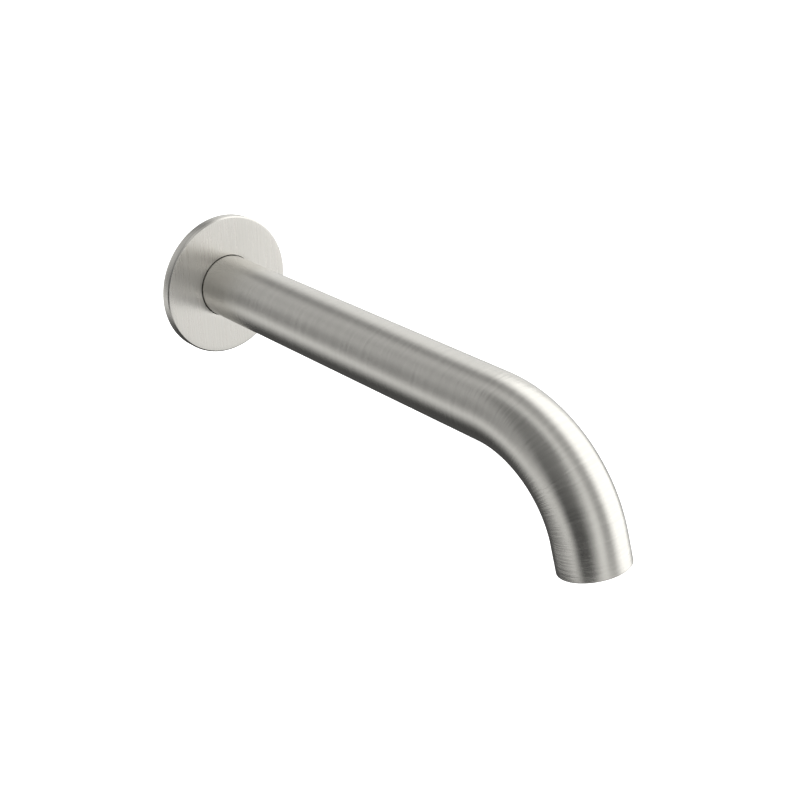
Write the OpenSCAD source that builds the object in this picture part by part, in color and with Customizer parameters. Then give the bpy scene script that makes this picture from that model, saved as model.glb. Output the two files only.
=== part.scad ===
// Wall-mounted bath spout, 25 mm tube with a 74 degree bend and a round cover flange.
// Millimetres. The wall's face is the plane y = 0. The spout points along -Y and its outlet points down.
// A spigot screws into the pipe in the wall, the spout slips over it, and a set screw locks the two.

/* [Spout tube] */
// Outer diameter of the tube
tube_d = 25; // [25:0.5:30]
// Wall thickness of the tube
tube_wall = 1; // [0.8:0.1:1]
// Distance from the wall to the middle of the outlet
reach = 200; // [160:5:300]
// Radius of the bend, to the middle of the tube
bend_r = 44; // [38:1:60]
// Angle that the tube bends down by
bend_angle = 74; // [60:1:88]
// Straight length of tube after the bend
tip_len = 9.8; // [9.8:0.2:20]
// Chamfer on the tube's ends
tube_chamfer = 0.3; // [0.1:0.1:0.4]

/* [Cover flange] */
// Outer diameter of the flange
flange_d = 57; // [54:1:80]
// Distance that the flange's front stands off the wall
flange_t = 3.9; // [3.9:0.1:6]
// Thickness of the flange's front plate
flange_plate = 1.6; // [1.2:0.1:1.6]
// Chamfer round the flange's front edge
flange_chamfer = 0.5; // [0.2:0.1:1]
// Gap between the tube and the flange's hole, all round
flange_gap = 0.45; // [0.3:0.05:0.7]

/* [Spigot in the wall] */
// Length of the G 1/2 thread behind the wall's face
thread_len = 16; // [12:1:20]
// Outer diameter of the part that the spout slips over
spigot_d = 18.4; // [18.2:0.1:19]
// How far the spigot stands out of the wall
spigot_len = 35.5; // [35:0.5:60]
// Hexagon socket for the key that turns the spigot, across its flats
spigot_hex = 10; // [8:1:10]

/* [Set screw] */
// Distance from the wall to the set screw
screw_at = 12; // [10:0.5:16]
// Length of the M5 set screw
screw_len = 4; // [3.8:0.1:4.1]

/* [Aerator] */
// How far the aerator sits up inside the outlet
aerator_recess = 1; // [0.9:0.1:1.2]
// Number of slots for the aerator key
key_slots = 6; // [4:1:8]
// Distance between neighbouring cells of the outlet grid
grid_pitch = 1.8; // [1.6:0.1:1.8]

/* [Hidden] */
$fn = 96;

// Clearances, each on the radius: pieces brazed together, pieces that turn or slide, and seals
braze_gap = 0.03;
running_gap = 0.05;
seal_gap = 0.02;
// Extra length that lets a cut run past the face that it opens
past = 1;

// Spout tube. The tip is a hair thicker than the bend and laps it, so that the two join in one solid.
tube_r = tube_d / 2;
tube_bore_r = tube_r - tube_wall;
tube_start = 1;
tip_lap = 0.03;
tip_r = tube_r + tip_lap;
tip_bore_r = tube_bore_r - tip_lap;
drop = bend_r * (1 - cos(bend_angle)) + tip_len * sin(bend_angle);
straight_len = reach - bend_r * sin(bend_angle) - tip_len * cos(bend_angle);

// Spigot: a G 1/2 thread is 20.955 mm across its crests
thread_r = 20.955 / 2;
thread_lead = 1.2;
spigot_r = spigot_d / 2;
spigot_neck = 1.2;
spigot_neck_r = 8.9;
inlet_bore_r = 6;
front_bore_r = spigot_hex / sqrt(3) + 0.08;
hex_from = 4;
hex_to = 14;
lock_groove_w = 5.4;
lock_groove_r = 8;

// O-ring grooves in the spigot, as distances from the wall to their near sides
o_ring_groove_w = 2.4;
o_ring_groove_depth = 1.65;
o_ring_grooves = [24, 29.2];
o_ring_floor_r = spigot_r - o_ring_groove_depth;

// Bush in the tube's wall end
inlet_bush_r = tube_bore_r - braze_gap;
inlet_bush_bore_r = spigot_r + running_gap;
inlet_shoulder_at = spigot_len + 0.9;
inlet_shoulder_t = 2;
inlet_shoulder_r = 6.9;
lead_in = 1;

// M5 set screw
screw_r = 2.5;
screw_hole_r = screw_r + running_gap;
screw_tip_r = lock_groove_r + seal_gap;
screw_hex = 2.5;
screw_hex_depth = 1.9;
screw_cup = 0.6;

// Cover flange, seal and grip ring
flange_r = flange_d / 2;
flange_hole_r = tube_r + flange_gap;
flange_back = flange_t - flange_plate;
flange_rim_w = 2.5;
hub_r = 17;
hub_from = 0.3;
grip_groove_from = 0.9;
grip_groove_w = 2.3;
grip_groove_r = tube_r + 1.75;
seal_clear = 0.4;

// Bush in the outlet end and the M21.5 x 1 aerator thread
outlet_bush_from = 0.8;
outlet_bush_to = 9.6;
aerator_thread_r = 21.5 / 2;
outlet_thread_r = aerator_thread_r + running_gap;
outlet_shoulder_at = 7.4;
outlet_shoulder_r = 9.3;

// Aerator, as distances up the tube from the outlet's rim
housing_to = 6.2;
housing_bore_r = 9.7;
housing_lip = 0.8;
housing_lip_r = 9;
key_slot_w = 2;
key_slot_depth = 0.9;
body_r = housing_bore_r - running_gap;
body_bore_r = 8.6;
body_ledge_at = 5;
body_ledge_r = 8;
body_ledge_t = 0.5;
insert_r = body_bore_r - running_gap;
body_from = aerator_recess + housing_lip + seal_gap;
grid_t = 1.6;
grid_rings = 4;
mesh_t = 0.3;
jet_t = 1;
filter_rim_t = 0.5;
filter_h = 2.7;
filter_wall = 0.5;
filter_top_r = 7.4;
jet_at = body_ledge_at + body_ledge_t + seal_gap;
filter_at = jet_at + jet_t + seal_gap;

// ---------- shared shapes ----------

// Turns a shape drawn along +Z so that z is the distance from the wall into the room.
module from_wall() rotate([90, 0, 0]) children();

// Places a shape so that z is the distance up the tube from the middle of the outlet's rim.
module from_outlet() translate([0, -reach, -drop]) rotate([bend_angle - 90, 0, 0]) children();

// Points a shape drawn along +Z straight down, below the set screw's place on the tube's axis.
module under_screw() translate([0, -screw_at, 0]) rotate([180, 0, 0]) children();

// Turns a profile of [radius, distance] points about the axis.
module turned(points) rotate_extrude() polygon(points);

// Section of a tube.
module tube_section() difference() {
    circle(r = tube_r);
    circle(r = tube_bore_r);
}

// A seal ring with rounded corners, between two radii and two distances.
module seal_ring(r_in, r_out, from, to, corner) rotate_extrude() {
    translate([r_in + corner, from]) square([r_out - r_in - 2 * corner, to - from]);
    translate([r_in, from + corner]) square([r_out - r_in, to - from - 2 * corner]);
    for (r = [r_in + corner, r_out - corner], z = [from + corner, to - corner])
        translate([r, z]) circle(r = corner);
}

// Places a child on each ring of a round pattern: 1 in the middle, then 6, 12, 18 and so on.
module in_rings(rings, pitch) for (ring = [0:rings], i = [0:max(1, 6 * ring) - 1])
    rotate(360 * i / max(1, 6 * ring)) translate([ring * pitch, 0]) children();

// Places a child on each cell of a honeycomb with this many rings round the middle cell.
module in_honeycomb(rings, pitch) for (row = [-rings:rings])
    for (i = [0:2 * rings - abs(row)])
        translate([(i - rings + abs(row) / 2) * pitch, row * pitch * sqrt(3) / 2]) children();

// ---------- wall side ----------

// Brass spigot: the thread is drawn as a plain cylinder of its crest diameter.
module wall_spigot() color("darkgoldenrod") from_wall() difference() {
    turned([
        [0, -thread_len],
        [thread_r - thread_lead, -thread_len],
        [thread_r, -thread_len + thread_lead],
        [thread_r, 0],
        [spigot_neck_r, 0],
        [spigot_neck_r, spigot_neck],
        [spigot_r, spigot_neck],
        [spigot_r, screw_at - lock_groove_w / 2],
        [lock_groove_r, screw_at - lock_groove_w / 2],
        [lock_groove_r, screw_at + lock_groove_w / 2],
        [spigot_r, screw_at + lock_groove_w / 2],
        for (z = o_ring_grooves, p = [
            [spigot_r, z],
            [o_ring_floor_r, z],
            [o_ring_floor_r, z + o_ring_groove_w],
            [spigot_r, z + o_ring_groove_w]
        ]) p,
        [spigot_r, spigot_len - lead_in],
        [spigot_r - lead_in, spigot_len],
        [0, spigot_len]
    ]);
    translate([0, 0, -thread_len - past]) cylinder(r = inlet_bore_r, h = thread_len + hex_from + 2 * past);
    translate([0, 0, hex_from]) cylinder(d = spigot_hex * 2 / sqrt(3), h = hex_to - hex_from + past, $fn = 6);
    translate([0, 0, hex_to]) cylinder(r = front_bore_r, h = spigot_len - hex_to + past);
}

// One of the spigot's two O-rings, squeezed between its groove and the bush.
module spigot_o_ring(groove_at) color("dimgray") from_wall() seal_ring(
    o_ring_floor_r + seal_gap, inlet_bush_bore_r - seal_gap,
    groove_at + 0.2, groove_at + o_ring_groove_w - 0.2, 0.75
);

// ---------- spout ----------

// The brass tube, brushed nickel outside, with the clearance hole for the set screw underneath.
module spout_tube() color("silver") difference() {
    union() {
        from_wall() turned([
            [tube_bore_r, tube_start],
            [tube_r - tube_chamfer, tube_start],
            [tube_r, tube_start + tube_chamfer],
            [tube_r, straight_len],
            [tube_bore_r, straight_len]
        ]);
        translate([0, -straight_len, -bend_r]) rotate([180, 0, 0]) rotate([0, 90, 0])
            rotate_extrude(angle = bend_angle) translate([bend_r, 0]) tube_section();
        from_outlet() turned([
            [tip_bore_r, 0],
            [tip_r - tube_chamfer, 0],
            [tip_r, tube_chamfer],
            [tip_r, tip_len + tip_lap],
            [tip_bore_r, tip_len + tip_lap]
        ]);
    }
    under_screw() translate([0, 0, inlet_bush_bore_r]) cylinder(r = screw_hole_r, h = tube_r);
}

// Bush brazed into the wall end: it slips over the spigot and holds the set screw's thread.
module inlet_bush() color("goldenrod") difference() {
    from_wall() turned([
        [inlet_bush_bore_r + lead_in, tube_start],
        [inlet_bush_r, tube_start],
        [inlet_bush_r, inlet_shoulder_at + inlet_shoulder_t],
        [inlet_shoulder_r, inlet_shoulder_at + inlet_shoulder_t],
        [inlet_shoulder_r, inlet_shoulder_at],
        [inlet_bush_bore_r, inlet_shoulder_at],
        [inlet_bush_bore_r, tube_start + lead_in]
    ]);
    under_screw() translate([0, 0, spigot_r / 2]) cylinder(r = screw_hole_r, h = tube_r);
}

// Bush brazed into the outlet end: it holds the aerator's thread and has the washer's seat.
module outlet_bush() color("goldenrod") from_outlet() turned([
    [outlet_thread_r, outlet_bush_from],
    [tip_bore_r - braze_gap, outlet_bush_from],
    [tip_bore_r - braze_gap, outlet_bush_to],
    [outlet_shoulder_r, outlet_bush_to],
    [outlet_shoulder_r, outlet_shoulder_at],
    [outlet_thread_r, outlet_shoulder_at]
]);

// M5 cup point set screw with a hexagon socket. Its thread is drawn as a plain cylinder.
module set_screw() color("gray") under_screw() difference() {
    translate([0, 0, screw_tip_r]) turned([
        [screw_cup, 0],
        [screw_r - screw_cup, 0],
        [screw_r, screw_cup],
        [screw_r, screw_len],
        [0, screw_len],
        [0, screw_cup]
    ]);
    translate([0, 0, screw_tip_r + screw_len - screw_hex_depth])
        cylinder(d = screw_hex * 2 / sqrt(3), h = screw_hex_depth + past, $fn = 6);
}

// ---------- cover flange ----------

// Turned brass disc, hollow behind, with a groove in its hub for the grip ring.
module cover_flange() color("silver") from_wall() turned([
    [flange_hole_r, hub_from],
    [hub_r, hub_from],
    [hub_r, flange_back],
    [flange_r - flange_rim_w, flange_back],
    [flange_r - flange_rim_w, 0],
    [flange_r, 0],
    [flange_r, flange_t - flange_chamfer],
    [flange_r - flange_chamfer, flange_t],
    [flange_hole_r, flange_t],
    [flange_hole_r, grip_groove_from + grip_groove_w],
    [grip_groove_r, grip_groove_from + grip_groove_w],
    [grip_groove_r, grip_groove_from],
    [flange_hole_r, grip_groove_from]
]);

// O-ring in the flange's hub that grips the tube and holds the flange against the wall.
module flange_grip_ring() color("dimgray") from_wall() seal_ring(
    tube_r + seal_gap, grip_groove_r - seal_gap,
    grip_groove_from + 0.15, grip_groove_from + grip_groove_w - 0.15, 0.8
);

// Foam ring that fills the flange's hollow and seals it to the wall.
module flange_seal() color("darkslategray") from_wall() turned([
    [hub_r + seal_clear, 0],
    [flange_r - flange_rim_w - seal_clear, 0],
    [flange_r - flange_rim_w - seal_clear, flange_back - seal_gap],
    [hub_r + seal_clear, flange_back - seal_gap]
]);

// ---------- aerator ----------

// Rubber washer between the aerator and the bush's seat.
module aerator_washer() color("dimgray") from_outlet() seal_ring(
    outlet_shoulder_r + 0.05, aerator_thread_r - 0.1,
    housing_to + seal_gap, outlet_shoulder_at - seal_gap, 0.3
);

// Threaded sleeve with slots for the aerator key.
module aerator_housing() color("silver") from_outlet() difference() {
    turned([
        [housing_lip_r, aerator_recess],
        [aerator_thread_r, aerator_recess],
        [aerator_thread_r, housing_to],
        [housing_bore_r, housing_to],
        [housing_bore_r, aerator_recess + housing_lip],
        [housing_lip_r, aerator_recess + housing_lip]
    ]);
    for (i = [0:key_slots - 1]) rotate(360 * i / key_slots)
        translate([housing_lip_r - past, -key_slot_w / 2, aerator_recess - past])
            cube([2 * past + aerator_thread_r - housing_lip_r, key_slot_w, past + key_slot_depth]);
}

// Plastic sleeve that holds the jet disc, the meshes and the grid, with air windows in its side.
module aerator_body() color("whitesmoke") from_outlet() difference() {
    turned([
        [body_bore_r, body_from],
        [body_r, body_from],
        [body_r, housing_to],
        [outlet_shoulder_r - 2 * running_gap, housing_to],
        [outlet_shoulder_r - 2 * running_gap, filter_at + filter_rim_t],
        [body_bore_r, filter_at + filter_rim_t],
        [body_bore_r, body_ledge_at + body_ledge_t],
        [body_ledge_r, body_ledge_at + body_ledge_t],
        [body_ledge_r, body_ledge_at],
        [body_bore_r, body_ledge_at]
    ]);
    for (i = [0:7]) rotate(45 * i + 22.5)
        translate([body_ledge_r, -1.5, 4.2]) cube([2 * past, 3, 0.6]);
}

// Strainer over the jet disc.
module aerator_filter() color("lightsteelblue") from_outlet() difference() {
    turned([
        [0, filter_at + filter_h],
        [filter_top_r, filter_at + filter_h],
        [filter_top_r + filter_wall, filter_at + filter_rim_t],
        [insert_r, filter_at + filter_rim_t],
        [insert_r, filter_at],
        [filter_top_r, filter_at],
        [filter_top_r - filter_wall, filter_at + filter_h - filter_wall],
        [0, filter_at + filter_h - filter_wall]
    ]);
    translate([0, 0, filter_at]) linear_extrude(filter_h + past) in_rings(3, 1.9) circle(d = 1.1);
}

// Disc whose small holes turn the water into jets that draw in air.
module aerator_jet_disc() color("lightsteelblue") from_outlet() translate([0, 0, jet_at])
    linear_extrude(jet_t) difference() {
        circle(r = insert_r);
        for (ring = [[4.2, 12], [6.4, 18]], i = [0:ring[1] - 1])
            rotate(360 * i / ring[1]) translate([ring[0], 0]) circle(d = 1);
    }

// One of the two steel meshes that break the jets up, set at an angle to the other.
module aerator_mesh(from, angle) color("gainsboro") from_outlet() translate([0, 0, from])
    rotate(angle) linear_extrude(mesh_t) difference() {
        circle(r = insert_r);
        in_honeycomb(4, 1.7) circle(d = 1.3);
    }

// Honeycomb at the outlet that makes the stream straight.
module aerator_grid() color("whitesmoke") from_outlet() translate([0, 0, body_from])
    linear_extrude(grid_t) difference() {
        circle(r = insert_r);
        in_honeycomb(grid_rings, grid_pitch) rotate(30) circle(d = grid_pitch * 1.02, $fn = 6);
    }

mesh_lower_at = body_from + grid_t + 0.1;
mesh_upper_at = mesh_lower_at + mesh_t + 0.2;

wall_spigot();
spigot_o_ring(o_ring_grooves[0]);  // spigot_o_ring_rear
spigot_o_ring(o_ring_grooves[1]);  // spigot_o_ring_front
spout_tube();
inlet_bush();
outlet_bush();
set_screw();
cover_flange();
flange_grip_ring();
flange_seal();
aerator_washer();
aerator_housing();
aerator_body();
aerator_filter();
aerator_jet_disc();
aerator_mesh(mesh_upper_at, 30);  // aerator_mesh_upper
aerator_mesh(mesh_lower_at, 0);  // aerator_mesh_lower
aerator_grid();
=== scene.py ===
import math
import random

import bmesh
import bpy
from mathutils import Matrix, Vector


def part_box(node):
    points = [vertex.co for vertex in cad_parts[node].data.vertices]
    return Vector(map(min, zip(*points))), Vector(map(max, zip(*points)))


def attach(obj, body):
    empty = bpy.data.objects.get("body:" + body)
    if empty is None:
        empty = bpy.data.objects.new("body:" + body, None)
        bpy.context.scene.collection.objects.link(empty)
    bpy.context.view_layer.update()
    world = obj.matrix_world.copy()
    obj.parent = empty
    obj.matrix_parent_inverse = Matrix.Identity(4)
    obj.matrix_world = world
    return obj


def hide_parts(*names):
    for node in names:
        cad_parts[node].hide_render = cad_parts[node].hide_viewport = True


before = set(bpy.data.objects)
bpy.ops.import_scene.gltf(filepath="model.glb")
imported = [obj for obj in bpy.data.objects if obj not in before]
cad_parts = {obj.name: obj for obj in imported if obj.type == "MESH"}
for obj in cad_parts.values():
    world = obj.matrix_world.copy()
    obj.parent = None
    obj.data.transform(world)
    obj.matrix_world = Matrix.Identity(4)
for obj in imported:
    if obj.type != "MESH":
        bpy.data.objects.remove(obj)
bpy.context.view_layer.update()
random.seed(7)

# ---------- sizes, in millimetres, as the CAD has them ----------

MM = 0.001
# Faces round a turned piece
FINE = 192
MEDIUM = 96
COARSE = 48


def size(node):
    """Lowest and highest corner of a CAD node, in millimetres."""
    lo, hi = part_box(node)
    return Vector(lo) / MM, Vector(hi) / MM


tube_lo, tube_hi = size("spout_tube")
flange_lo, flange_hi = size("cover_flange")
spigot_lo, spigot_hi = size("wall_spigot")
seal_lo, seal_hi = size("flange_seal")
screw_lo, screw_hi = size("set_screw")

TUBE_R = tube_hi.z
TIP_R = tube_hi.x
TUBE_WALL = 1.0
TUBE_START = -tube_hi.y
BEND_R = 44.0
BEND = math.radians(74)
TIP = 9.8
REACH = 200.0
STRAIGHT = REACH - BEND_R * math.sin(BEND) - TIP * math.cos(BEND)
BENT = BEND_R * BEND
TOTAL = STRAIGHT + BENT + TIP
BORE_R = TUBE_R - TUBE_WALL

FLANGE_R = flange_hi.x
FLANGE_T = -flange_lo.y
# The photograph's gap round the tube is tighter than the CAD's 0.45 mm.
VISIBLE_GAP = 0.25
FLANGE_HOLE_R = TUBE_R + VISIBLE_GAP
HUB_R = 17.0
GROOVE_R = TUBE_R + 1.75
SCREW_AT = -(screw_lo.y + screw_hi.y) / 2
SCREW_HOLE_R = 2.55

# UV units to a millimetre
UV_SCALE = 0.01

# ---------- the spout's own coordinates ----------


def along(u):
    """Point and up-side normal of the tube's middle line, u millimetres from the wall."""
    if u <= STRAIGHT:
        return Vector((0, -u, 0)), Vector((0, 0, 1))
    turn = min((u - STRAIGHT) / BEND_R, BEND)
    normal = Vector((0, -math.sin(turn), math.cos(turn)))
    point = Vector((0, -STRAIGHT, -BEND_R)) + BEND_R * normal
    rest = max(0.0, u - STRAIGHT - BENT)
    return point + rest * Vector((0, -math.cos(turn), -math.sin(turn))), normal


def spout_place(u, r, phi):
    """The point r millimetres from the tube's middle line, phi round it from +X."""
    point, normal = along(u)
    return (point + r * (math.cos(phi) * Vector((1, 0, 0)) + math.sin(phi) * normal)) * MM


def outlet_place(h, r, phi):
    """The same, with h as the distance up the tube from the outlet's rim."""
    return spout_place(TOTAL - h, r, phi)


def screw_place(h, r, phi):
    """A point at h below the tube's axis and r from the set screw's own axis."""
    return Vector((r * math.cos(phi), -SCREW_AT - r * math.sin(phi), -h)) * MM


# ---------- mesh tools ----------


def rounded(points, steps=4):
    """A profile of (place, radius) points, where a third number rounds that corner by an arc."""
    out = []
    count = len(points)
    for i, p in enumerate(points):
        if len(p) == 2:
            out.append((p[0], p[1]))
            continue
        here = Vector(p[:2])
        before = Vector(points[i - 1][:2]) - here
        after = Vector(points[(i + 1) % count][:2]) - here
        angle = before.angle(after)
        reach = p[2] / math.tan(angle / 2)
        start = here + before.normalized() * reach
        end = here + after.normalized() * reach
        inward = (before.normalized() + after.normalized()).normalized()
        middle = here + inward * p[2] / math.sin(angle / 2)
        a, b = start - middle, end - middle
        sweep = a.angle(b)
        for k in range(steps + 1):
            t = k / steps
            q = middle + (a * math.sin((1 - t) * sweep) + b * math.sin(t * sweep)) / math.sin(sweep)
            out.append((q.x, q.y))
    return out


def finer(points, step):
    """Adds points to a profile's long stretches, so that none is over step long."""
    out = []
    for i, p in enumerate(points):
        q = points[(i + 1) % len(points)]
        out.append(p)
        length = math.dist(p, q)
        if length > step:
            parts = math.ceil(length / step)
            out += [tuple(a + (b - a) * k / parts for a, b in zip(p, q)) for k in range(1, parts)]
    return out


def turned(name, profile, place, segments, shape=None, sharp=30):
    """A closed profile of (place, radius) points turned round an axis.

    The UV map runs along the profile, by UV_SCALE, and round the axis, in turns. The grain
    attribute holds (cos, sin, millimetres along the profile), for brushing with no seam.
    shape, where it is given, returns each point's own radius."""
    mesh = bpy.data.meshes.new(name)
    rows = len(profile)
    lengths = [0.0]
    for i in range(rows):
        lengths.append(lengths[-1] + math.dist(profile[i], profile[(i + 1) % rows]))
    verts = []
    grain = []
    for i, (h, r) in enumerate(profile):
        for j in range(segments):
            phi = 2 * math.pi * j / segments
            radius = shape(h, r, phi, i) if shape else r
            verts.append(place(h, radius, phi))
            grain += [math.cos(phi), math.sin(phi), lengths[i]]
    faces = []
    coords = []
    for i in range(rows):
        k = (i + 1) % rows
        for j in range(segments):
            n = (j + 1) % segments
            faces.append((i * segments + j, k * segments + j, k * segments + n, i * segments + n))
            u0, u1 = lengths[i] * UV_SCALE, lengths[i + 1] * UV_SCALE
            v0, v1 = j / segments, (j + 1) / segments
            coords += [u0, v0, u1, v0, u1, v1, u0, v1]
    mesh.from_pydata(verts, [], faces)
    mesh.uv_layers.new(name="UVMap").data.foreach_set("uv", coords)
    mesh.attributes.new("grain", "FLOAT_VECTOR", "POINT").data.foreach_set("vector", grain)
    obj = bpy.data.objects.new(name, mesh)
    bpy.context.scene.collection.objects.link(obj)
    outward(mesh)
    smooth(mesh, sharp)
    return obj


def outward(mesh):
    """Makes a closed mesh's faces point outwards."""
    bm = bmesh.new()
    bm.from_mesh(mesh)
    if bm.calc_volume(signed=True) < 0:
        bmesh.ops.reverse_faces(bm, faces=bm.faces)
    bm.to_mesh(mesh)
    bm.free()


def smooth(mesh, degrees):
    """Shades a mesh smooth, except over edges sharper than this."""
    mesh.shade_smooth()
    mesh.set_sharp_from_angle(angle=math.radians(degrees))


def cut(obj, tool, degrees):
    """Cuts one mesh with another for good, deletes the tool and smooths up to this angle."""
    modifier = obj.modifiers.new("cut", "BOOLEAN")
    modifier.operation = "DIFFERENCE"
    modifier.solver = "EXACT"
    modifier.object = tool
    bpy.context.view_layer.update()
    done = bpy.data.meshes.new_from_object(obj.evaluated_get(bpy.context.evaluated_depsgraph_get()))
    obj.modifiers.clear()
    old = obj.data
    done.name = old.name
    obj.data = done
    bpy.data.meshes.remove(old)
    bpy.data.objects.remove(tool)
    smooth(obj.data, degrees)


def rod(place, radius, low, high):
    """A plain rod along a part's own axis, used to cut a hole."""
    middle = 0.001
    profile = [(low, middle), (low, radius), (high, radius), (high, middle)]
    return turned("cutter", profile, place, COARSE)


def thread(crest, depth, pitch, low, high, fade):
    """Radius of a right-hand thread between two places, with rounded crests and faded ends."""
    flat = 0.15

    def radius(h, phi):
        wave = 0.5 - 0.5 * math.cos(2 * math.pi * (h / pitch - phi / (2 * math.pi)))
        wave = min(1.0, wave / (1 - flat))
        near = min(1.0, max(0.0, (h - low) / fade), max(0.0, (high - h) / fade))
        return crest - depth * wave * near

    return radius


def hexagon(phi, across, r):
    """Radius of a hexagon with rounded corners, no larger than r."""
    turn = (phi + math.pi / 6) % (math.pi / 3) - math.pi / 6
    return min(r, across / 2 / math.cos(turn))


# ---------- materials ----------


def tinted(color, factor):
    """This colour, darker or lighter by a factor."""
    return tuple(min(1, c * factor) for c in color)


def material(name, color, metallic, roughness, **sockets):
    """A material with a Principled shader. Each further value is set on the shader's own socket."""
    mat = bpy.data.materials.new(name)
    mat.use_nodes = True
    shader = mat.node_tree.nodes["Principled BSDF"]
    shader.inputs["Base Color"].default_value = (*color, 1)
    shader.inputs["Metallic"].default_value = metallic
    shader.inputs["Roughness"].default_value = roughness
    for socket, value in sockets.items():
        shader.inputs[socket.replace("_", " ")].default_value = value
    return mat


class Graph:
    """Short names for the shader nodes that the materials share."""

    def __init__(self, mat):
        self.tree = mat.node_tree
        self.shader = self.tree.nodes["Principled BSDF"]

    def add(self, kind, **values):
        node = self.tree.nodes.new(kind)
        for key, value in values.items():
            setattr(node, key, value)
        return node

    def link(self, a, b):
        self.tree.links.new(a, b)

    def noise(self, vector, scale, detail=2.0, roughness=0.5):
        node = self.add("ShaderNodeTexNoise")
        self.link(vector, node.inputs["Vector"])
        node.inputs["Scale"].default_value = scale
        node.inputs["Detail"].default_value = detail
        node.inputs["Roughness"].default_value = roughness
        return node.outputs["Fac"]

    def scaled(self, vector, factors):
        node = self.add("ShaderNodeVectorMath", operation="MULTIPLY")
        self.link(vector, node.inputs[0])
        node.inputs[1].default_value = factors
        return node.outputs["Vector"]

    def spread(self, value, low, high, source=(0.3, 0.7)):
        node = self.add("ShaderNodeMapRange")
        self.link(value, node.inputs["Value"])
        node.inputs["From Min"].default_value, node.inputs["From Max"].default_value = source
        node.inputs["To Min"].default_value = low
        node.inputs["To Max"].default_value = high
        return node.outputs["Result"]

    def add_up(self, a, b, share=0.5):
        node = self.add("ShaderNodeMix", data_type="FLOAT")
        node.inputs["Factor"].default_value = share
        self.link(a, node.inputs["A"])
        self.link(b, node.inputs["B"])
        return node.outputs["Result"]

    def tones(self, value, dark, light):
        node = self.add("ShaderNodeMix", data_type="RGBA")
        self.link(value, node.inputs["Factor"])
        node.inputs["A"].default_value = (*dark, 1)
        node.inputs["B"].default_value = (*light, 1)
        self.link(node.outputs["Result"], self.shader.inputs["Base Color"])

    def bump(self, height, strength, distance):
        node = self.add("ShaderNodeBump")
        node.inputs["Strength"].default_value = strength
        node.inputs["Distance"].default_value = distance
        self.link(height, node.inputs["Height"])
        self.link(node.outputs["Normal"], self.shader.inputs["Normal"])


def brushed(name, color, roughness, anisotropy, relief, flat=False):
    """Metal with fine scratches, which run round the piece's axis or, where it is flat, up and down."""
    mat = material(name, color, 1.0, roughness, Anisotropic=anisotropy)
    g = Graph(mat)
    # The noise of the lines is stretched along the scratches. Where they run round the axis, the
    # third factor is the one across them, and on a flat face it is the one along them.
    if flat:
        grain = g.scaled(g.add("ShaderNodeTexCoord").outputs["Object"], (1 / MM, 1 / MM, 1 / MM))
        coarse_grain, fine_grain, patch_grain = (1.2, 1.2, 0.03), (4.0, 4.0, 0.06), (0.1, 0.1, 0.03)
    else:
        grain = g.add("ShaderNodeAttribute", attribute_name="grain").outputs["Vector"]
        coarse_grain, fine_grain, patch_grain = (0.8, 0.8, 1.2), (1.6, 1.6, 5.0), (0.9, 0.9, 0.05)
    coarse = g.noise(g.scaled(grain, coarse_grain), 1.0, 2.0, 0.5)
    fine = g.noise(g.scaled(grain, fine_grain), 1.0, 3.0, 0.6)
    lines = g.spread(g.add_up(coarse, fine, 0.4), 0.0, 1.0, (0.28, 0.72))
    patches = g.noise(g.scaled(grain, patch_grain), 1.0, 2.0)
    polish = g.spread(g.add_up(lines, patches, 0.3), roughness * 0.88, roughness * 1.12)
    g.link(polish, g.shader.inputs["Roughness"])
    g.tones(lines, tinted(color, 0.93), tinted(color, 1.06))
    g.bump(lines, relief, 0.1 * MM)
    tangent = g.add("ShaderNodeTangent", direction_type="UV_MAP", uv_map="UVMap")
    g.link(tangent.outputs["Tangent"], g.shader.inputs["Tangent"])
    return mat


def plain_metal(name, color, roughness):
    """Turned or drawn metal with small marks and uneven polish."""
    mat = material(name, color, 1.0, roughness)
    g = Graph(mat)
    place = g.add("ShaderNodeTexCoord").outputs["Object"]
    marks = g.noise(place, 2600.0, 3.0, 0.6)
    stains = g.noise(place, 320.0, 2.0, 0.5)
    g.link(g.spread(stains, roughness * 0.75, roughness * 1.3), g.shader.inputs["Roughness"])
    g.tones(g.add_up(stains, marks, 0.4), tinted(color, 0.86), tinted(color, 1.06))
    g.bump(marks, 0.15, 0.02 * MM)
    return mat


def moulded(name, color, roughness, grain_scale, relief, **sockets):
    """Rubber, foam or plastic with a moulded surface."""
    mat = material(name, color, 0.0, roughness, **sockets)
    g = Graph(mat)
    place = g.add("ShaderNodeTexCoord").outputs["Object"]
    pores = g.noise(place, grain_scale, 4.0, 0.6)
    shade = g.noise(place, 150.0, 2.0, 0.5)
    g.link(g.spread(shade, roughness * 0.9, min(1, roughness * 1.1)), g.shader.inputs["Roughness"])
    g.tones(g.add_up(shade, pores, 0.5), tinted(color, 0.8), tinted(color, 1.15))
    g.bump(pores, 0.3, relief)
    return mat


NICKEL = (0.72, 0.705, 0.67)
nickel_tube = brushed("nickel_tube", NICKEL, 0.24, 0.55, 0.45)
nickel_rim = brushed("nickel_rim", NICKEL, 0.26, 0.6, 0.4)
nickel_face = brushed("nickel_face", NICKEL, 0.29, 0.94, 0.18, flat=True)
nickel_satin = plain_metal("nickel_satin", (0.66, 0.645, 0.61), 0.3)
brass = plain_metal("brass", (0.78, 0.60, 0.30), 0.28)
steel = plain_metal("steel", (0.52, 0.52, 0.51), 0.3)
rubber = moulded("rubber", (0.045, 0.045, 0.047), 0.5, 1800.0, 0.03 * MM)
foam = moulded("foam", (0.055, 0.056, 0.06), 0.9, 1500.0, 0.2 * MM)
white_plastic = moulded("white_plastic", (0.78, 0.78, 0.75), 0.4, 2500.0, 0.01 * MM)
grey_plastic = moulded("grey_plastic", (0.4, 0.42, 0.45), 0.4, 2500.0, 0.01 * MM)


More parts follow.
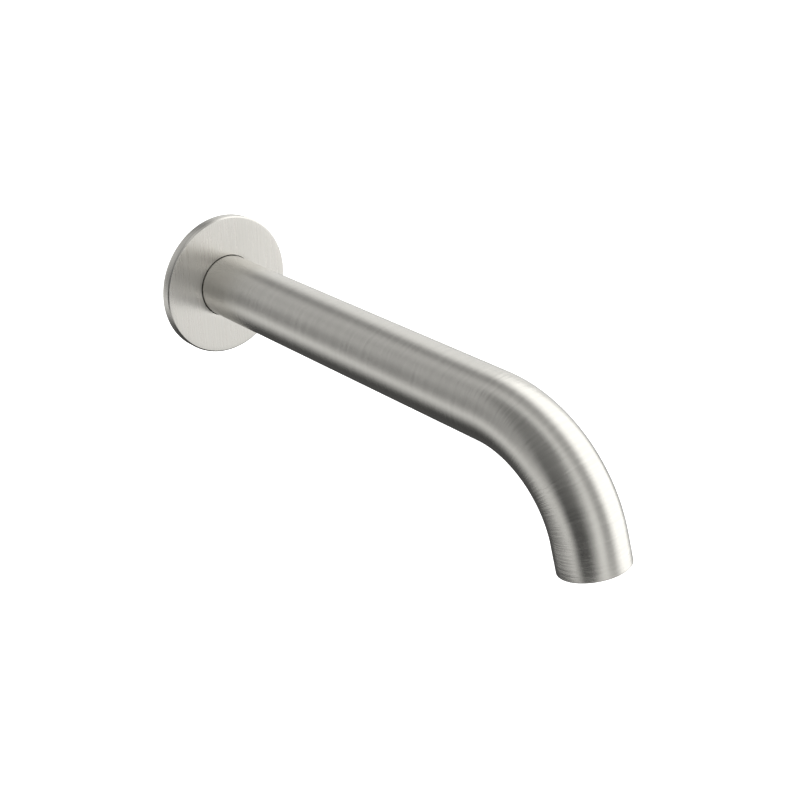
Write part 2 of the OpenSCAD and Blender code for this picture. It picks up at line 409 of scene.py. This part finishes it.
def finish_piece(obj, mat, body, slot, *nodes):
    """Gives a piece its material, its body and the CAD nodes it stands for. The slot argument is not
    used.
    """
    obj.data.materials.clear()
    obj.data.materials.append(mat)
    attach(obj, body)
    if nodes:
        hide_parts(*nodes)


# ---------- spout tube ----------


def make_tube():
    rim = 0.3
    outer = [(TUBE_START, TUBE_R, 0.25)]
    outer += [(u, TUBE_R) for u in range(4, int(STRAIGHT), 3)]
    outside, inside = 72, 24
    outer += [(STRAIGHT + BENT * k / outside, TUBE_R) for k in range(outside)]
    outer += [(STRAIGHT + BENT, TIP_R), (TOTAL - TIP / 2, TIP_R), (TOTAL, TIP_R, rim)]
    inner = [(TOTAL, BORE_R, rim), (STRAIGHT + BENT, BORE_R)]
    inner += [(STRAIGHT + BENT * k / inside, BORE_R) for k in reversed(range(inside))]
    inner += [(TUBE_START, BORE_R)]
    tube = turned("spout_tube_brushed", rounded(outer + inner, 5), spout_place, FINE, sharp=50)
    cut(tube, rod(screw_place, SCREW_HOLE_R, TUBE_R - 3, TUBE_R + 2), degrees=50)
    finish_piece(tube, nickel_tube, "spout", "brushed_nickel", "spout_tube")


# ---------- cover flange ----------


def make_flange():
    hub_at, back = 0.3, 2.3
    rim_bore = FLANGE_R - 2.5
    chamfer = 0.5
    groove_from, groove_to = 0.9, 3.2
    profile = [
        (hub_at, FLANGE_HOLE_R), (hub_at, HUB_R, 0.15), (back, HUB_R, 0.4), (back, rim_bore, 0.4),
        (0, rim_bore, 0.1), (0, FLANGE_R, 0.15),
        (FLANGE_T - chamfer, FLANGE_R, 0.2), (FLANGE_T, FLANGE_R - chamfer, 0.2),
        (FLANGE_T, FLANGE_HOLE_R, 0.12), (groove_to, FLANGE_HOLE_R, 0.08),
        (groove_to, GROOVE_R), (groove_from, GROOVE_R), (groove_from, FLANGE_HOLE_R, 0.08),
    ]
    flange = turned("cover_flange_brushed", finer(rounded(profile), 2.0), spout_place, FINE, sharp=25)
    finish_piece(flange, nickel_rim, "flange", "brushed_nickel", "cover_flange")
    brush_front(flange, nickel_face)


def brush_front(obj, mat):
    """Gives the faces that look straight off the wall a flat UV map and this metal."""
    mesh = obj.data
    mesh.materials.append(mat)
    coords = mesh.uv_layers["UVMap"].data
    for face in mesh.polygons:
        if face.normal.y > -0.99:
            continue
        face.material_index = 1
        for loop in face.loop_indices:
            corner = mesh.vertices[mesh.loops[loop].vertex_index].co
            coords[loop].uv = (corner.x / MM * UV_SCALE, corner.z / MM * UV_SCALE)


def make_grip_ring():
    inner, outer, low, high = TUBE_R + 0.03, GROOVE_R - 0.03, 1.06, 3.04
    corner = 0.75
    middle = (low + high) / 2
    seam_w, seam_h = 0.12, 0.02
    profile = [
        (low, inner, corner), (high, inner, corner), (high, outer, corner), (middle + seam_w, outer),
        (middle, outer + seam_h), (middle - seam_w, outer), (low, outer, corner),
    ]
    ring = turned("grip_ring_rubber", rounded(profile, 6), spout_place, MEDIUM, sharp=60)
    finish_piece(ring, rubber, "grip_ring", "rubber", "flange_grip_ring")


def make_foam():
    outer, inner = seal_hi.x, HUB_R + 0.4
    depth = -seal_lo.y
    ragged, margin = 0.08, 0.3
    profile = finer([(0.0, inner), (0.0, outer), (depth, outer), (depth, inner)], 0.7)

    def torn(h, r, phi, row):
        return r + random.uniform(-ragged, ragged) * (inner + margin < r < outer - margin)

    ring = turned("flange_seal_foam", profile, spout_place, FINE, torn, sharp=60)
    finish_piece(ring, foam, "flange", "foam", "flange_seal")


# ---------- wall side ----------


def make_spigot():
    length, thread_r = spigot_hi.y, spigot_hi.x
    front = -spigot_lo.y
    r, neck_r, neck = 9.2, 8.9, 1.2
    bore, front_bore = 6.0, 5.85
    hex_w, hex_r, hex_from, hex_to = 10.0, 5.78, 4.0, 14.0
    lock_r, lock_from, lock_to = 8.0, 9.3, 14.7
    ring_r, ring_w = 7.55, 2.4
    pitch, depth = 1.814, 1.162
    lead = 1.2
    steps = int((length - lead) / pitch * 10)
    threaded = [(-length + lead + (length - lead) * k / steps, thread_r) for k in range(steps + 1)]
    grooves = []
    for at in (24.0, 29.2):
        far = at + ring_w
        grooves += [(at, r, 0.1), (at, ring_r, 0.2), (far, ring_r, 0.2), (far, r, 0.1)]
    profile = rounded([
        (-length, bore, 0.2), (-length, thread_r - lead, 0.15), *threaded,
        (0.0, neck_r), (neck, neck_r), (neck, r, 0.1),
        (lock_from, r, 0.1), (lock_from, lock_r), (lock_to, lock_r), (lock_to, r, 0.1),
        *grooves, (front - 1, r, 0.2), (front, r - 1, 0.1), (front, front_bore, 0.2),
        (hex_to, front_bore), (hex_to, hex_w), (hex_from, hex_w), (hex_from, bore),
    ])
    form = thread(thread_r, depth, pitch, -length - 1, -0.3, 1.4)

    def shape(h, radius, phi, row):
        if radius == thread_r:
            return min(form(h, phi), thread_r - max(0.0, -length + lead - h))
        if radius == hex_w:
            return hexagon(phi, hex_w, hex_r)
        return radius

    spigot = turned("wall_spigot_threaded", profile, spout_place, 144, shape, sharp=28)
    finish_piece(spigot, brass, "spout", "brass", "wall_spigot")


def make_set_screw():
    tip, length, r = 8.02, 4.0, 2.5
    hex_w, hex_r, hex_deep = 2.5, 1.43, 1.9
    pitch, depth = 0.8, 0.42
    rows = 40
    sides = [(tip + 0.5 + (length - 0.6) * k / rows, r) for k in range(rows + 1)]
    profile = [(tip + 0.6, 0.01), (tip, r - 0.9), (tip, r - 0.7)] + sides
    profile += [(tip + length, r - 0.35), (tip + length, hex_w), (tip + length - hex_deep, hex_w)]
    profile += [(tip + length - hex_deep - 0.3, 0.01)]
    form = thread(r, depth, pitch, tip - 1, tip + length + 1, 0.5)

    def shape(h, radius, phi, row):
        if radius == r:
            end = min(1.0, (h - tip + 0.1) / 0.9, (tip + length + 0.1 - h) / 0.4)
            return form(h, phi) - 0.45 * (1 - end)
        if radius == hex_w:
            return hexagon(phi, hex_w, hex_r)
        return radius

    screw = turned("set_screw_threaded", profile, screw_place, 72, shape, sharp=28)
    finish_piece(screw, steel, "set_screw", "steel", "set_screw")


# ---------- aerator ----------


def make_housing():
    low, high = 1.0, 6.2
    r, bore, lip_r, lip = 10.75, 9.7, 9.0, 0.8
    pitch, depth = 1.0, 0.5
    slots, slot_depth = 6, 0.9
    rows = 60
    sides = [(low + 0.35 + (high - low - 0.6) * k / rows, r) for k in range(rows + 1)]
    profile = [(low, lip_r, 0.1), (low, r - 0.35)] + sides
    profile += [(high, r - 0.3), (high, bore), (low + lip, bore), (low + lip, lip_r, 0.1)]
    form = thread(r, depth, pitch, low - 1, high + 1, 0.4)

    def shape(h, radius, phi, row):
        if radius == r:
            end = min(1.0, (h - low) / 1.0, (high - h) / 0.6)
            return min(r, form(h, -phi)) - 0.3 * (1 - end)
        return radius

    housing = turned("aerator_housing_slotted", rounded(profile), outlet_place, FINE, shape, sharp=28)
    box_faces = [(0, 1, 3, 2), (4, 6, 7, 5), (0, 4, 5, 1), (2, 3, 7, 6), (0, 2, 6, 4), (1, 5, 7, 3)]
    for k in range(slots):
        turn = 2 * math.pi * k / slots
        corners = []
        for h in (low - 1, low + slot_depth):
            for r_at in (lip_r - 1, r + 1):
                for side in (-1.0, 1.0):
                    angle = turn + math.atan2(side, r_at)
                    corners.append(outlet_place(h, math.hypot(r_at, side), angle))
        mesh = bpy.data.meshes.new("slot")
        mesh.from_pydata(corners, [], box_faces)
        outward(mesh)
        tool = bpy.data.objects.new("slot", mesh)
        bpy.context.scene.collection.objects.link(tool)
        cut(housing, tool, degrees=28)
    finish_piece(housing, nickel_satin, "aerator", "brushed_nickel", "aerator_housing")


def make_mesh_screen(name, node, h, angle):
    """A woven wire screen, its wires waved over and under each other."""
    radius, pitch, wire = 8.4, 0.7, 0.09
    curve = bpy.data.curves.new(name, "CURVE")
    curve.dimensions = "3D"
    curve.bevel_depth = wire * MM
    curve.bevel_resolution = 1
    count = int(radius / pitch)
    for way in (0, 1):
        for i in range(-count, count + 1):
            offset = i * pitch
            half = math.sqrt(max(0.0, radius**2 - offset**2))
            if half < pitch:
                continue
            steps = int(2 * half / pitch * 4)
            line = curve.splines.new("POLY")
            line.points.add(steps)
            for k in range(steps + 1):
                t = -half + 2 * half * k / steps
                lift = wire * math.cos(math.pi * (t / pitch + i + way))
                x, y = (t, offset) if way else (offset, t)
                at = outlet_place(h + lift, math.hypot(x, y), math.atan2(y, x) + angle)
                line.points[k].co = (*at, 1)
    bent = bpy.data.objects.new(name + "_curve", curve)
    bpy.context.scene.collection.objects.link(bent)
    bpy.context.view_layer.update()
    mesh = bpy.data.meshes.new_from_object(bent.evaluated_get(bpy.context.evaluated_depsgraph_get()))
    bpy.data.objects.remove(bent)
    mesh.name = name
    smooth(mesh, 60)
    screen = bpy.data.objects.new(name, mesh)
    bpy.context.scene.collection.objects.link(screen)
    finish_piece(screen, steel, "aerator", "steel", node)


def paint_cad_nodes():
    """The CAD nodes that are shown as they are get these materials."""
    looks = {
        "spigot_o_ring_rear": rubber, "spigot_o_ring_front": rubber, "inlet_bush": brass,
        "outlet_bush": brass, "aerator_washer": rubber, "aerator_body": white_plastic,
        "aerator_filter": grey_plastic, "aerator_jet_disc": grey_plastic, "aerator_grid": white_plastic,
    }
    for node, mat in looks.items():
        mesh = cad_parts[node].data
        mesh.materials.clear()
        mesh.materials.append(mat)


make_tube()
make_flange()
make_grip_ring()
make_foam()
make_spigot()
make_set_screw()
make_housing()
make_mesh_screen("aerator_screen_lower", "aerator_mesh_lower", 3.68, 0.0)
make_mesh_screen("aerator_screen_upper", "aerator_mesh_upper", 4.18, math.pi / 4)
paint_cad_nodes()

# ---------- studio ----------


class Sky:
    """The studio round the object as one soft world, whose panels have smooth edges by direction."""

    def __init__(self):
        world = bpy.data.worlds.new("studio")
        bpy.context.scene.world = world
        world.use_nodes = True
        self.tree = world.node_tree
        self.tree.nodes.clear()
        split = self.tree.nodes.new("ShaderNodeSeparateXYZ")
        self.direction = self.tree.nodes.new("ShaderNodeTexCoord").outputs["Generated"]
        self.tree.links.new(self.direction, split.inputs[0])
        self.axes = {"x": split.outputs[0], "y": split.outputs[1], "z": split.outputs[2]}

    def math(self, operation, a, b):
        node = self.tree.nodes.new("ShaderNodeMath")
        node.operation = operation
        for socket, value in zip(node.inputs, (a, b)):
            if isinstance(value, (int, float)):
                socket.default_value = value
            else:
                self.tree.links.new(value, socket)
        return node.outputs[0]

    def step(self, value, start, end):
        """0 before start and 1 after end, which can lie either way round."""
        node = self.tree.nodes.new("ShaderNodeMapRange")
        node.interpolation_type = "SMOOTHSTEP"
        low, high = min(start, end), max(start, end)
        self.tree.links.new(value, node.inputs["Value"])
        node.inputs["From Min"].default_value = low
        node.inputs["From Max"].default_value = high
        node.inputs["To Min"].default_value = 0.0 if end > start else 1.0
        node.inputs["To Max"].default_value = 1.0 if end > start else 0.0
        return node.outputs["Result"]

    def toward(self, x, y, z):
        """Cosine of the angle from this direction."""
        node = self.tree.nodes.new("ShaderNodeVectorMath")
        node.operation = "DOT_PRODUCT"
        self.tree.links.new(self.direction, node.inputs[0])
        node.inputs[1].default_value = Vector((x, y, z)).normalized()
        return node.outputs["Value"]

    def mix(self, below, above, share):
        """below where share is 0 and above where it is 1."""
        gap = self.math("SUBTRACT", above, below)
        return self.math("ADD", below, self.math("MULTIPLY", gap, share))

    def both(self, a, b):
        return self.math("MULTIPLY", a, b)


def make_studio():
    """Panels round the object. +X is right, -Y is the room's side and behind is the wall's side."""
    sky = Sky()
    x, y, z = (sky.axes[k] for k in "xyz")
    behind = sky.step(y, -0.1, 0.75)
    # Left side: brightest low down, dimmest level with the object and softer above.
    low = sky.mix(0.85, 0.8, behind)
    middle = sky.mix(0.6, 0.28, behind)
    upper = sky.mix(0.74, 0.52, behind)
    level = sky.mix(low, middle, sky.both(sky.step(z, -0.46, 0.02), sky.step(x, -0.3, -0.6)))
    level = sky.mix(level, upper, sky.step(z, 0.12, 0.56))
    # Dark gap between the panels, in a band round the left side from low down to overhead.
    # Its lower end slants: the farther left, the lower it reaches.
    gap = sky.toward(-0.347, 0.847, -0.403)
    far = sky.math("ADD", gap, sky.math("MULTIPLY", z, 0.25))
    gap = sky.both(sky.step(gap, 0.64, 0.16), sky.step(far, -0.78, -0.2))
    end = sky.math("SUBTRACT", z, sky.math("MULTIPLY", x, 0.8))
    gap = sky.both(gap, sky.both(sky.step(x, -0.22, -0.5), sky.step(end, -0.04, 0.2)))
    level = sky.mix(level, sky.mix(0.06, 0.22, sky.step(z, -0.35, 0.8)), gap)
    # Dark floor, a little higher at the back.
    depth = sky.math("SUBTRACT", z, sky.math("MULTIPLY", behind, 0.1))
    level = sky.mix(level, 0.06, sky.step(depth, -0.4, -0.84))
    # Dark corner low down on the wall's side, from the middle to the right.
    corner = sky.both(sky.step(x, -0.25, 0.05), sky.both(sky.step(z, -0.05, -0.3), behind))
    level = sky.mix(level, 0.08, corner)
    # Seam between the left and the right panel, over the top from front to back.
    across = sky.math("SUBTRACT", x, sky.math("MULTIPLY", sky.step(y, 0.1, 0.7), 0.14))
    seam = sky.both(sky.step(across, -0.2, 0.06), sky.step(z, -0.55, -0.1))
    level = sky.mix(level, sky.mix(0.42, 0.28, behind), seam)
    # Large soft panel on the right, brighter in front of a slanting edge and over a slanting foot.
    level = sky.mix(level, 0.87, sky.both(sky.step(x, 0.22, 0.62), sky.step(z, -0.3, -0.06)))
    slant = sky.math("SUBTRACT", y, sky.math("MULTIPLY", z, 0.6))
    foot = sky.math("ADD", z, sky.math("MULTIPLY", x, 0.8))
    front = sky.both(sky.step(x, 0.24, 0.68), sky.step(slant, 0.26, 0.1))
    front = sky.both(front, sky.both(sky.step(z, -0.72, -0.45), sky.step(foot, -0.15, 0.25)))
    level = sky.mix(level, 1.5, front)
    shine = sky.tree.nodes.new("ShaderNodeBackground")
    shine.inputs["Color"].default_value = (1.0, 1.0, 0.985, 1)
    sky.tree.links.new(level, shine.inputs["Strength"])
    plain = sky.tree.nodes.new("ShaderNodeBackground")
    plain.inputs["Color"].default_value = (1, 1, 1, 1)
    seen = sky.tree.nodes.new("ShaderNodeLightPath")
    mixed = sky.tree.nodes.new("ShaderNodeMixShader")
    out = sky.tree.nodes.new("ShaderNodeOutputWorld")
    sky.tree.links.new(seen.outputs["Is Camera Ray"], mixed.inputs[0])
    sky.tree.links.new(shine.outputs[0], mixed.inputs[1])
    sky.tree.links.new(plain.outputs[0], mixed.inputs[2])
    sky.tree.links.new(mixed.outputs[0], out.inputs["Surface"])


def make_floor():
    side, below = 6.0, 0.8
    signs = ((-1, -1), (1, -1), (1, 1), (-1, 1))
    mesh = bpy.data.meshes.new("floor")
    mesh.from_pydata([(x * side, y * side, -below) for x, y in signs], [], [(0, 1, 2, 3)])
    floor = bpy.data.objects.new("floor", mesh)
    bpy.context.scene.collection.objects.link(floor)
    glow = {"Emission_Color": (1, 1, 1, 1), "Emission_Strength": 1.0}
    mesh.materials.append(material("pale_floor", (0.9, 0.9, 0.9), 0.0, 0.9, **glow))
    floor.visible_glossy = False
    floor.visible_diffuse = False
    floor.visible_shadow = False


def make_camera():
    azimuth, elevation, roll = math.radians(-41.2), math.radians(27.3), math.radians(-1.8)
    distance, lens = 477.5, 58.3
    aim, aside, over = Vector((0, -87.5, -12.5)), 13.7, -8.6
    level = Vector((math.sin(azimuth), -math.cos(azimuth), 0))
    back = math.cos(elevation) * level + Vector((0, 0, math.sin(elevation)))
    right = (-back).cross(Vector((0, 0, 1))).normalized()
    up = right.cross(-back)
    rolled = math.cos(roll) * right + math.sin(roll) * up
    rolled_up = -math.sin(roll) * right + math.cos(roll) * up
    place = aim + aside * rolled + over * rolled_up + distance * back
    data = bpy.data.cameras.new("camera")
    data.lens = lens
    data.sensor_width = 36
    data.clip_start = 0.01
    data.clip_end = 50
    camera = bpy.data.objects.new("camera", data)
    bpy.context.scene.collection.objects.link(camera)
    turn = Matrix((rolled, rolled_up, back)).transposed().to_4x4()
    camera.matrix_world = Matrix.Translation(place * MM) @ turn
    bpy.context.scene.camera = camera


make_studio()
make_floor()
make_camera()
bpy.context.scene.view_settings.view_transform = "Standard"
